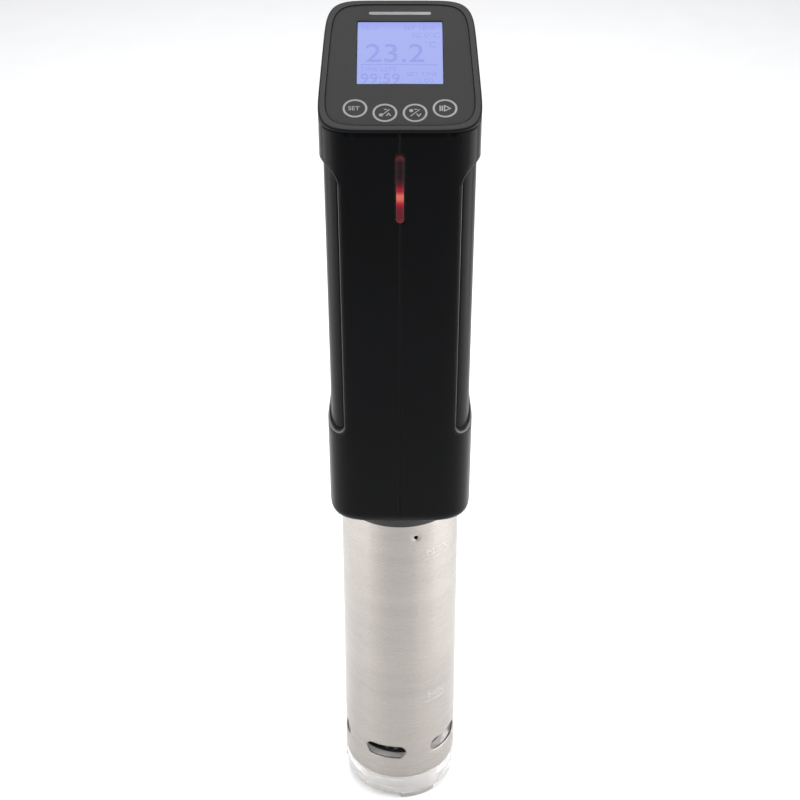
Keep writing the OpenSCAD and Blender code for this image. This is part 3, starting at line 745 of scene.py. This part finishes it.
def panel():
    """Matte panel with a window, its surface turned in slightly along both edges."""
    top = -0.25
    window = rounded_rect(-WINDOW_W / 2, WINDOW_S0, WINDOW_W / 2, WINDOW_S0 + WINDOW_L, 0.5)
    inner = rounded_rect(-WINDOW_W / 2 - 0.3, WINDOW_S0 - 0.3, WINDOW_W / 2 + 0.3,
                         WINDOW_S0 + WINDOW_L + 0.3, 0.8)
    outer = face_outline(RIM_INSET + 0.03)
    steps = [face_outline(RIM_INSET + 0.15), face_outline(RIM_INSET + 0.4), inner]
    flat, tris = sheet_mesh(outer, [window], steps, [], (1.5, 1.5))
    edge = point_tree(densify(outer, 0.6) + densify(window, 0.5))
    verts = [on_face(x, s, top - 0.12 * (1 - smooth(0.0, 0.3, edge.find((x, s, 0))[2]))) for x, s in flat]
    obj = new_piece("panel_film", verts, tris, "panel", "casing_body", ["control_panel"])
    thicken(obj, 1.2)


def display():
    """Lit face just under the panel, with a small step all round."""
    rect = rounded_rect(-WINDOW_W / 2 + 0.08, WINDOW_S0 + 0.08, WINDOW_W / 2 - 0.08,
                        WINDOW_S0 + WINDOW_L - 0.08, 0.4)
    inset = rounded_rect(-WINDOW_W / 2 + 0.2, WINDOW_S0 + 0.2, WINDOW_W / 2 - 0.2,
                         WINDOW_S0 + WINDOW_L - 0.2, 0.3)
    rings = [[on_face(x, s, h) for x, s in r] for r, h in ((rect, -2.4), (rect, -0.62), (inset, -0.5))]
    verts, faces = loft(rings)
    new_piece("display_face", verts, faces, "display", "casing_body", ["lcd_glass"])


def letters(name, word, size, offset, depth=0.0, steps=3):
    """Flat or raised lettering as a mesh in metres, from its own lower left corner."""
    curve = bpy.data.curves.new(name, "FONT")
    curve.body = word
    curve.size = size * MM
    curve.offset = offset * MM
    curve.extrude = depth * MM
    curve.resolution_u = steps
    text = bpy.data.objects.new(name, curve)
    bpy.context.scene.collection.objects.link(text)
    bpy.context.view_layer.update()
    mesh = bpy.data.meshes.new_from_object(text.evaluated_get(bpy.context.evaluated_depsgraph_get()))
    bpy.data.objects.remove(text)
    return mesh


def face_text(name, word, size, x, s, material, slot, h=-0.49, thin=0.0, wide=1.0, depth=0.02):
    """Raised lettering in the control face, with its lower left corner at x, s."""
    mesh = letters(name, word, size, thin, depth, 4)
    place = Matrix.Scale(MM, 4) @ FACE @ Matrix.Translation((x, s, h)) @ Matrix.Scale(1 / MM, 4)
    mesh.transform(place @ Matrix.Diagonal((wide, 1, 1, 1)))
    obj = bpy.data.objects.new(name, mesh)
    bpy.context.scene.collection.objects.link(obj)
    finish_piece(obj, slot, "casing_body", (), material)


def display_rule(x0, s0, x1, s1, h):
    """The thin line between the two rows of readings."""
    rings = [[on_face(x, s, z) for x, s in ((x0, s0), (x1, s0), (x1, s1), (x0, s1))] for z in (h - 0.03, h)]
    verts, faces = loft(rings)
    new_piece("display_rule", verts, faces, "display", "casing_body", (), FAINT_INK)


def readings():
    """Generic temperatures and times, and the thin rule between them."""
    s0 = WINDOW_S0
    face_text("reading_temp", "23.2", 15.2, -14.9, s0 + 12.9, DIGIT_INK, "display", thin=0.02, wide=0.98)
    face_text("unit_temp", "°C", 4.8, 10.2, s0 + 21.4, FAINT_INK, "display", thin=-0.05)
    face_text("label_temp", "TEMP", 3.2, -16.6, s0 + 31.8, FAINT_INK, "display", thin=-0.02)
    face_text("label_set_temp", "SET TEMP", 3.2, 1.6, s0 + 31.8, FAINT_INK, "display", thin=0.0)
    face_text("reading_set", "50.0°C", 4.4, 4.6, s0 + 27.2, FAINT_INK, "display", thin=-0.08)
    display_rule(-16.6, s0 + 11.1, 15.6, s0 + 11.6, -0.475)
    face_text("label_left", "TIME LEFT", 3.4, -16.6, s0 + 7.4, FAINT_INK, "display", thin=-0.02)
    face_text("reading_left", "99:59", 8.2, -16.6, s0 + 0.5, DIGIT_INK, "display", thin=-0.02, wide=0.92)
    face_text("label_set_time", "SET TIME", 3.2, 2.8, s0 + 4.8, FAINT_INK, "display", thin=-0.02)
    face_text("reading_set_time", "12:00", 4.0, 5.0, s0 + 0.8, FAINT_INK, "display", thin=-0.06)


def disc(name, x, s, r, h):
    """A flat printed dot on the control face."""
    rings = [[on_face(x + dx, s + dy, z) for dx, dy in circle(q, 40)]
             for q, z in ((r, h - PRINT_T), (r, h - 0.02), (r - 0.04, h))]
    verts, faces = loft(rings)
    new_piece(name, verts, faces, "key_silver", "casing_body")


def stroke(name, points, w, h, closed=False):
    """A flat printed line with mitred corners along points of the control face."""
    n = len(points)
    pairs = []
    for i, (x, s) in enumerate(points):
        before = points[i - 1] if i or closed else None
        after = points[(i + 1) % n] if i < n - 1 or closed else None
        ways = []
        for a, b in ((before, (x, s)), ((x, s), after)):
            if a and b:
                d = Vector((b[0] - a[0], b[1] - a[1])).normalized()
                ways.append(Vector((-d.y, d.x)))
        normal = sum(ways, Vector((0, 0))).normalized()
        dx, ds = normal * (w / 2 / max(0.4, normal.dot(ways[0])))
        pairs.append(((x + dx, s + ds), (x - dx, s - ds)))
    lo = h - PRINT_T
    rings = [[on_face(*a, lo), on_face(*b, lo), on_face(*b, h), on_face(*a, h)] for a, b in pairs]
    verts, faces = loft(rings, close_ends=not closed, closed_loop=closed)
    new_piece(name, verts, faces, "key_silver", "casing_body")


def key_ring(i, x, s):
    bore = KEY_R - KEY_LINE
    section = [(bore, -0.5), (bore, -0.22), (bore + 0.1, -0.17),
               (KEY_R - 0.1, -0.17), (KEY_R, -0.22), (KEY_R, -0.5)]
    rings = [[on_face(x + dx, s + dy, h) for dx, dy in circle(r, 72)] for r, h in section]
    verts, faces = loft(rings, close_ends=False, closed_loop=True)
    new_piece(f"key_ring_{i}", verts, faces, "key_silver", "casing_body", ["key_rings"])


def keys():
    """Four keys: a word, down and up arrows, and start and stop signs."""
    for i, (x, s) in enumerate(KEY_PLACES):
        key_ring(i, x, s)
    h = PRINT_H
    x, s = KEY_PLACES[0]
    face_text("key_label", "SET", 3.1, x - 2.9, s - 1.05, MATERIALS["key_silver"], "key_silver",
              h=h, thin=0.03, depth=0.03)
    for i, up in ((1, False), (2, True)):
        x, s = KEY_PLACES[i]
        side = 1 if up else -1
        disc(f"key_dot_{i}", x - 1.6, s + side * 1.2, 0.85, h)
        stroke(f"key_slash_{i}", [(x - 1.9, s - 1.9), (x + 1.9, s + 1.9)], 0.4, h)
        tip = s - 1.9 if up else s - 0.3
        base = s - 0.5 if up else s - 1.7
        stroke(f"key_arrow_{i}", [(x + 0.6, base), (x + 1.5, tip), (x + 2.4, base)], 0.5, h)
        stroke(f"key_mark_{i}", [(x - 0.4, s + 1.9), (x + 0.9, s + 1.9)], 0.45, h)
    x, s = KEY_PLACES[3]
    stroke("key_play", [(x - 0.2, s - 1.5), (x + 2.2, s), (x - 0.2, s + 1.5)], 0.5, h, closed=True)
    stroke("key_stop", [(x - 2.0, s - 1.5), (x - 2.0, s + 1.5)], 0.6, h)
    stroke("key_stop_2", [(x - 1.1, s - 1.5), (x - 1.1, s + 1.5)], 0.6, h)


def emblem():
    """A plain bar in place of a name above the display."""
    disc("emblem_end_0", -EMBLEM_X, EMBLEM_S, EMBLEM_W / 2, PRINT_H)
    disc("emblem_end_1", EMBLEM_X, EMBLEM_S, EMBLEM_W / 2, PRINT_H)
    stroke("emblem_bar", [(-EMBLEM_X, EMBLEM_S), (EMBLEM_X, EMBLEM_S)], EMBLEM_W, PRINT_H - 0.01)


def status_light():
    """Red bar in the seam, with a domed face."""
    y0 = -CASING_D / 2 * size_at((LIGHT_Z0 + LIGHT_Z1) / 2)
    rings = []
    for inset, y in ((0.0, y0 + 4), (0.0, y0 + 0.15), (0.25, y0 - 0.12), (0.7, y0 - 0.22)):
        r = LIGHT_W / 2 - 0.03 - inset
        outline = arc(0, LIGHT_Z1 - LIGHT_W / 2, r, 0, 180, 12)
        outline += arc(0, LIGHT_Z0 + LIGHT_W / 2, r, 180, 360, 12)
        rings.append([(x, y, z) for x, z in outline])
    verts, faces = loft(rings)
    new_piece("status_light", verts, faces, "light_red", "casing_body", ["light_pipe"])


# ---------------------------------------------------------------- sleeve and cap
def cylinder_point(arc_mm, z, r):
    a = arc_mm / SLEEVE_R
    return r * math.cos(a), r * math.sin(a), z


def outlet_outline(i, grow):
    mid = math.radians(OUTLET_FIRST + 360 / OUTLETS * i) * SLEEVE_R
    half = math.radians(OUTLET_ARC / 2 - OUTLET_END_ARC) * SLEEVE_R
    r = OUTLET_H / 2 + grow
    return arc(mid + half, OUTLET_Z, r, -90, 90, 14) + arc(mid - half, OUTLET_Z, r, 90, 270, 14)


def sleeve():
    """Steel tube, unrolled from an angle that no outlet crosses, with turned-in edges."""
    gap = math.radians(OUTLET_FIRST - 180 / OUTLETS) * SLEEVE_R
    girth = 2 * math.pi * SLEEVE_R
    outer = [(gap, SLEEVE_Z0), (gap + girth, SLEEVE_Z0), (gap + girth, SLEEVE_Z1), (gap, SLEEVE_Z1)]
    holes = [outlet_outline(i, 0) for i in range(OUTLETS)]
    vent = (math.radians(VENT_HOLE_AZ) * SLEEVE_R, VENT_HOLE_Z)
    holes.append(arc(*vent, VENT_HOLE_R, 0, 345, 23))
    contours = [outlet_outline(i, grow) for grow in (0.25, 0.7) for i in range(OUTLETS)]
    contours += [arc(*vent, r, 0, 345, 23) for r in (1.3, 2.2, 3.2, 4.2)]
    lines = [[(gap, SLEEVE_Z0 + w), (gap + girth, SLEEVE_Z0 + w)] for w in (0.3, 0.8)]
    flat, tris = sheet_mesh(outer, holes, contours, lines, (1.4, 3.0))
    rims = [p for hole in holes[:OUTLETS] for p in densify(hole, 0.3)]
    tree = point_tree(rims + arc(*vent, VENT_HOLE_R, 0, 345, 60))
    verts = []
    for u, z in flat:
        sink = 0.28 * (1 - smooth(0.0, 0.7, tree.find((u, z, 0))[2]))
        sink += 0.2 * (1 - smooth(SLEEVE_Z0, SLEEVE_Z0 + 0.7, z))
        sink += 0.22 * (1 - smooth(0.8, 4.2, math.hypot(u - vent[0], z - vent[1])))
        verts.append(cylinder_point(u, z, SLEEVE_R - sink))
    obj = new_piece("sleeve_tube", verts, tris, "sleeve_steel", "sleeve_body", ["sleeve"])
    thicken(obj, SLEEVE_T - 0.05)


def level_mark(name, word, z_line, az):
    """A level line with a word over it, etched into the sleeve."""
    mesh = letters(name, word, 6.2, -0.1)
    width = max(v.co.x for v in mesh.vertices) / MM
    bm = bmesh.new()
    bm.from_mesh(mesh)
    places = [(x, y) for x in np.linspace(-1.5, width + 1.5, 24) for y in (-1.9, -1.4)]
    line = [bm.verts.new((x * MM, y * MM, 0)) for x, y in places]
    for k in range(0, len(line) - 2, 2):
        bm.faces.new((line[k], line[k + 2], line[k + 3], line[k + 1]))
    bmesh.ops.subdivide_edges(bm, edges=[e for e in bm.edges if e.calc_length() > 0.0009], cuts=3)
    mid = math.radians(az - 90)
    for v in bm.verts:
        a = mid + (v.co.x / MM - width / 2) / SLEEVE_R
        r = (SLEEVE_R + 0.03) * MM
        v.co = Vector((r * math.cos(a), r * math.sin(a), z_line * MM + v.co.y + 1.9 * MM))
    bmesh.ops.triangulate(bm, faces=bm.faces)
    bm.to_mesh(mesh)
    bm.free()
    obj = bpy.data.objects.new(name, mesh)
    bpy.context.scene.collection.objects.link(obj)
    finish_piece(obj, "sleeve_steel", "sleeve_body", (), ETCHED)


def collar():
    """Ring between the casing and the sleeve, with a round lower edge. Its dark band below the casing is
    partly a real ring and partly painted shade: the casing's shadow on the sleeve.
    """
    lo, hi = CASING_Z0 - 6.6, CASING_Z0 + 3.9
    r = (COLLAR_R - COLLAR_BORE) / 2
    profile = ([(COLLAR_BORE, hi), (COLLAR_BORE, lo + r + 0.2)] + arc(COLLAR_BORE + r, lo + r, r, 180, 360, 8)
               + [(COLLAR_R, lo + r + 0.2), (COLLAR_R, hi)])
    verts, faces = lathe(profile)
    new_piece("collar_and_shadow_ring", verts, faces, "collar", "casing_body", ["collar"])


def cap_bar(name, section, start, sweep, steps):
    """A closed bar with a section of (radius, height), from one angle about Z to another."""
    rings = []
    for a in (math.radians(start + sweep * j / steps) for j in range(steps + 1)):
        rings.append([(r * math.cos(a), r * math.sin(a), z) for r, z in section])
    verts, faces = loft(rings)
    new_piece(name, verts, faces, "clear_plastic", "cap_body")


def end_cap():
    """Clear cap: a cup with a round lower edge, a neck, moulded bayonet ribs and inlets."""
    lip, neck, z0, z1, top = 27.6, 26.7, FOOT_H, 16.4, 29.0
    edge = 2.4
    outer = [(22.4, z0)] + arc(lip - edge, z0 + edge, edge, -84, 0, 12) + [(lip, 11.0), (lip, z1 - 0.4)]
    outer += [(lip - 0.4, z1), (neck, z1 + 0.05), (neck, 24.0), (neck, top - 0.3), (neck - 0.3, top)]
    inner = [(22.9, top), (22.6, top - 0.3), (22.6, 12.0), (22.6, 8.2)] + arc(19.6, 8.2, 3.0, 0, -90, 8)
    verts, faces = lathe(outer + inner, 160)
    new_piece("cap_wall", verts, faces, "clear_plastic", "cap_body", ["end_cap"])
    rim = arc(0, 0, 22.4, 0, 357, 119)
    holes = [arc(12.5 * math.cos(a), 12.5 * math.sin(a), 4.0, 0, 350, 35)
              for a in (math.radians(60 * k) for k in range(6))]
    flat, tris = sheet_mesh(rim, holes, [], [], (1.2, 1.2))
    plate = new_piece("cap_plate", [(x, y, z0 + 2.2) for x, y in flat], tris, "clear_plastic", "cap_body")
    thicken(plate, 2.1)
    foot = rounded_rect(lip - 5.6, 0.0, lip - 1.2, z0 + 0.6, 0.7, 3)
    for k in range(3):
        cap_bar(f"cap_foot_{k}", foot, FOOT_FIRST + 120 * k, FOOT_ARC, 16)
    pad = [(4.5, z0 + 0.4), (4.5, 0.5), (4.0, 0.0)]
    verts, faces = loft([[(x, y, z) for x, y in circle(r, 40)] for r, z in pad])
    new_piece("cap_foot_middle", verts, faces, "clear_plastic", "cap_body")
    for k in range(4):
        for row, z in enumerate((7.2, 12.6)):
            rib = [(lip - 0.2, z), (lip + 0.38, z + 0.4), (lip + 0.38, z + 1.3), (lip - 0.2, z + 1.8)]
            cap_bar(f"cap_rib_{k}_{row}", rib, RIB_FIRST + 90 * k, RIB_ARC, 12)


# ---------------------------------------------------------------- clip
def wire(name, points, body, replaced=()):
    """The spring's round wire through points in mm."""
    pts = [Vector(p) for p in points]
    rings = []
    across = (pts[1] - pts[0]).normalized().orthogonal().normalized()
    for i, p in enumerate(pts):
        way = (pts[min(i + 1, len(pts) - 1)] - pts[max(i - 1, 0)]).normalized()
        across = (across - way * across.dot(way)).normalized()
        other = way.cross(across)
        rings.append([tuple(p + x * across + y * other) for x, y in circle(COIL_WIRE, 12)])
    verts, faces = loft(rings)
    new_piece(name, verts, faces, "spring_steel", body, replaced)


def rounded_bar(name, x0, x1, outline, slot="clip_plastic", body="clip_body", replaced=(), width=0.8):
    """A side outline in Y and Z, drawn from x0 to x1, with rounded edges."""
    rings = [[(x, y, z) for y, z in outline] for x in (x0, x1)]
    verts, faces = loft(rings)
    bevel(new_piece(name, verts, faces, slot, body, replaced), width)


def turned(points, angle):
    """Points in the lever's own side view, turned about the pin by angle."""
    c, s = math.cos(angle), math.sin(angle)
    return [(PIN_Y + y * c - z * s, PIN_Z + y * s + z * c) for y, z in points]


def clip():
    """Lever on the pin: a ribbed arm down to the jaw, a ridged tab to press and two barrels."""
    half = LEVER_W / 2 - 0.5
    arm = [(-2.0, -4.6), (2.0, -4.6), (2.0, -ARM_L + 3), (1.2, -ARM_L), (-1.2, -ARM_L), (-2.0, -ARM_L + 2)]
    rounded_bar("clip_arm", -half, half, turned(arm, ARM_TURN), replaced=["clip_lever"])
    rib = [(1.8, -7.5), (4.0, -10), (4.0, -ARM_L + 30), (1.8, -ARM_L + 12)]
    for k, x in enumerate((-half + 1.5, -1.0, half - 3.5)):
        rounded_bar(f"clip_arm_rib_{k}", x, x + 2, turned(rib, ARM_TURN), width=0.5)
    tab = [(-2.0, 4.4), (2.0, 4.4), (2.1, TAB_L - 8), (3.4, TAB_L - 2), (2.6, TAB_L), (0.4, TAB_L - 0.4),
           (-1.9, TAB_L - 8)]
    rounded_bar("clip_tab", -half, half, turned(tab, -TAB_ANGLE))
    for k in range(6):
        z = TAB_L - 32 + 4.2 * k
        ridge = [(1.6, z), (2.9, z + 0.4), (2.9, z + 1.4), (1.6, z + 1.8)]
        rounded_bar(f"clip_ridge_{k}", -half + 3, half - 3, turned(ridge, -TAB_ANGLE), width=0.35)
    place = Matrix.Translation((0, PIN_Y, PIN_Z)) @ Matrix.Rotation(math.pi / 2, 4, "Y")
    bore, r = BARREL_BORE, BARREL_R
    for k, (x0, x1) in enumerate(((-LEVER_W / 2, -BARREL_X0), (BARREL_X0, LEVER_W / 2))):
        profile = [(bore, x0), (r - 0.4, x0), (r, x0 + 0.4), (r, x1 - 0.4), (r - 0.4, x1), (bore, x1)]
        verts, faces = lathe(profile, 64, place)
        new_piece(f"clip_barrel_{k}", verts, faces, "clip_plastic", "clip_body")


def clip_bracket():
    """Base plate with two ears, each rounded about the pin."""
    lo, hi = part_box("clip_bracket")
    z0, z1 = lo[2] / MM, hi[2] / MM
    plate = rounded_rect(-20, z0, 20, z1, 4, 6)
    rings = [[(x, y, z) for x, z in plate] for y in (POCKET_Y, POCKET_Y + 4.5)]
    verts, faces = loft(rings)
    obj = new_piece("bracket_plate", verts, faces, "clip_plastic", "casing_body", ["clip_bracket"])
    bevel(obj, 0.8)
    ear = ([(POCKET_Y + 3, PIN_Z - 15), (POCKET_Y + 6, PIN_Z - 14.5)]
           + arc(PIN_Y, PIN_Z, 7.0, -70, 90, 14) + [(POCKET_Y + 6, PIN_Z + 14.5), (POCKET_Y + 3, PIN_Z + 15)])
    for k, x in enumerate((-LEVER_W / 2 - 4.5, LEVER_W / 2 + 0.5)):
        rounded_bar(f"bracket_ear_{k}", x, x + 4, ear, body="casing_body", width=0.7)


def clip_spring():
    """Torsion spring: a coil round the pin, one leg on the bracket and one on the lever."""
    coil = []
    turns, per_turn = 5, 28
    for k in range(turns * per_turn + 1):
        a = 2 * math.pi * k / per_turn + math.pi
        x = -COIL_HALF + 2 * COIL_HALF * k / (turns * per_turn)
        coil.append((x, PIN_Y + COIL_R * math.cos(a), PIN_Z + COIL_R * math.sin(a)))
    x, y, z = coil[0]
    leg = [(x, y - 6, z + 12), (x, y - 3, z + 6), (x, y - 0.4, z + 1.2)]
    wire("spring_coil", leg + coil, "casing_body", ["clip_spring"])
    leg = ((COIL_R, 0), (3.6, 3), (4.0, 8), (5.2, 18))
    wire("spring_leg", [(COIL_HALF, PIN_Y - y, PIN_Z - z) for y, z in leg], "clip_body")


def jaw():
    """Ridged rubber pad on the end of the arm."""
    back, front = -1.9, -5.2
    ridges = [(back, -ARM_L + 18)]
    for k in range(6):
        z = -ARM_L + 17.2 - 2.9 * k
        ridges += [(front, z), (front, z - 1.7), (front + 0.7, z - 2.0), (front + 0.7, z - 2.6)]
    ridges.append((back, -ARM_L + 0.4))
    half = LEVER_W / 2 - 2
    rounded_bar("jaw_rubber", -half, half, turned(ridges[::-1], ARM_TURN), "black_rubber",
                replaced=["jaw_pad"], width=0.2)


def gland():
    """Moulded gland with a flange, ribs and a rounded mouth."""
    place = Matrix.Translation((0, 28, GLAND_Z)) @ Matrix.Rotation(-math.pi / 2, 4, "X")
    profile = [(3.6, 0), (6.9, 0), (6.9, 8.1), (9.0, 8.2), (9.5, 8.6), (9.5, 10.0), (9.1, 10.5), (7.4, 10.6)]
    for k in range(3):
        z = 11.0 + 1.2 * k
        profile += [(6.2, z), (6.2, z + 0.4), (6.9 - 0.2 * k, z + 0.6), (6.9 - 0.2 * k, z + 1.0)]
    profile += [(5.6, 14.8), (4.2, 15.0), (3.7, 14.6)]
    verts, faces = lathe(profile, 72, place)
    new_piece("gland_body", verts, faces, "black_rubber", "casing_body", ["cord_gland"])


# ---------------------------------------------------------------- assembly
studio()
dress_frame()
for side in (-1, 1):
    half_shell(side)
    half_grip(side)
    recess_edge_highlight(side)
bezel()
panel()
display()
readings()
keys()
emblem()
status_light()
sleeve()
level_mark("mark_max", "MAX", MARK_MAX_Z, MARK_AZ)
level_mark("mark_min", "MIN", MARK_MIN_Z, MARK_AZ)
collar()
end_cap()
clip()
clip_bracket()
clip_spring()
jaw()
gland()
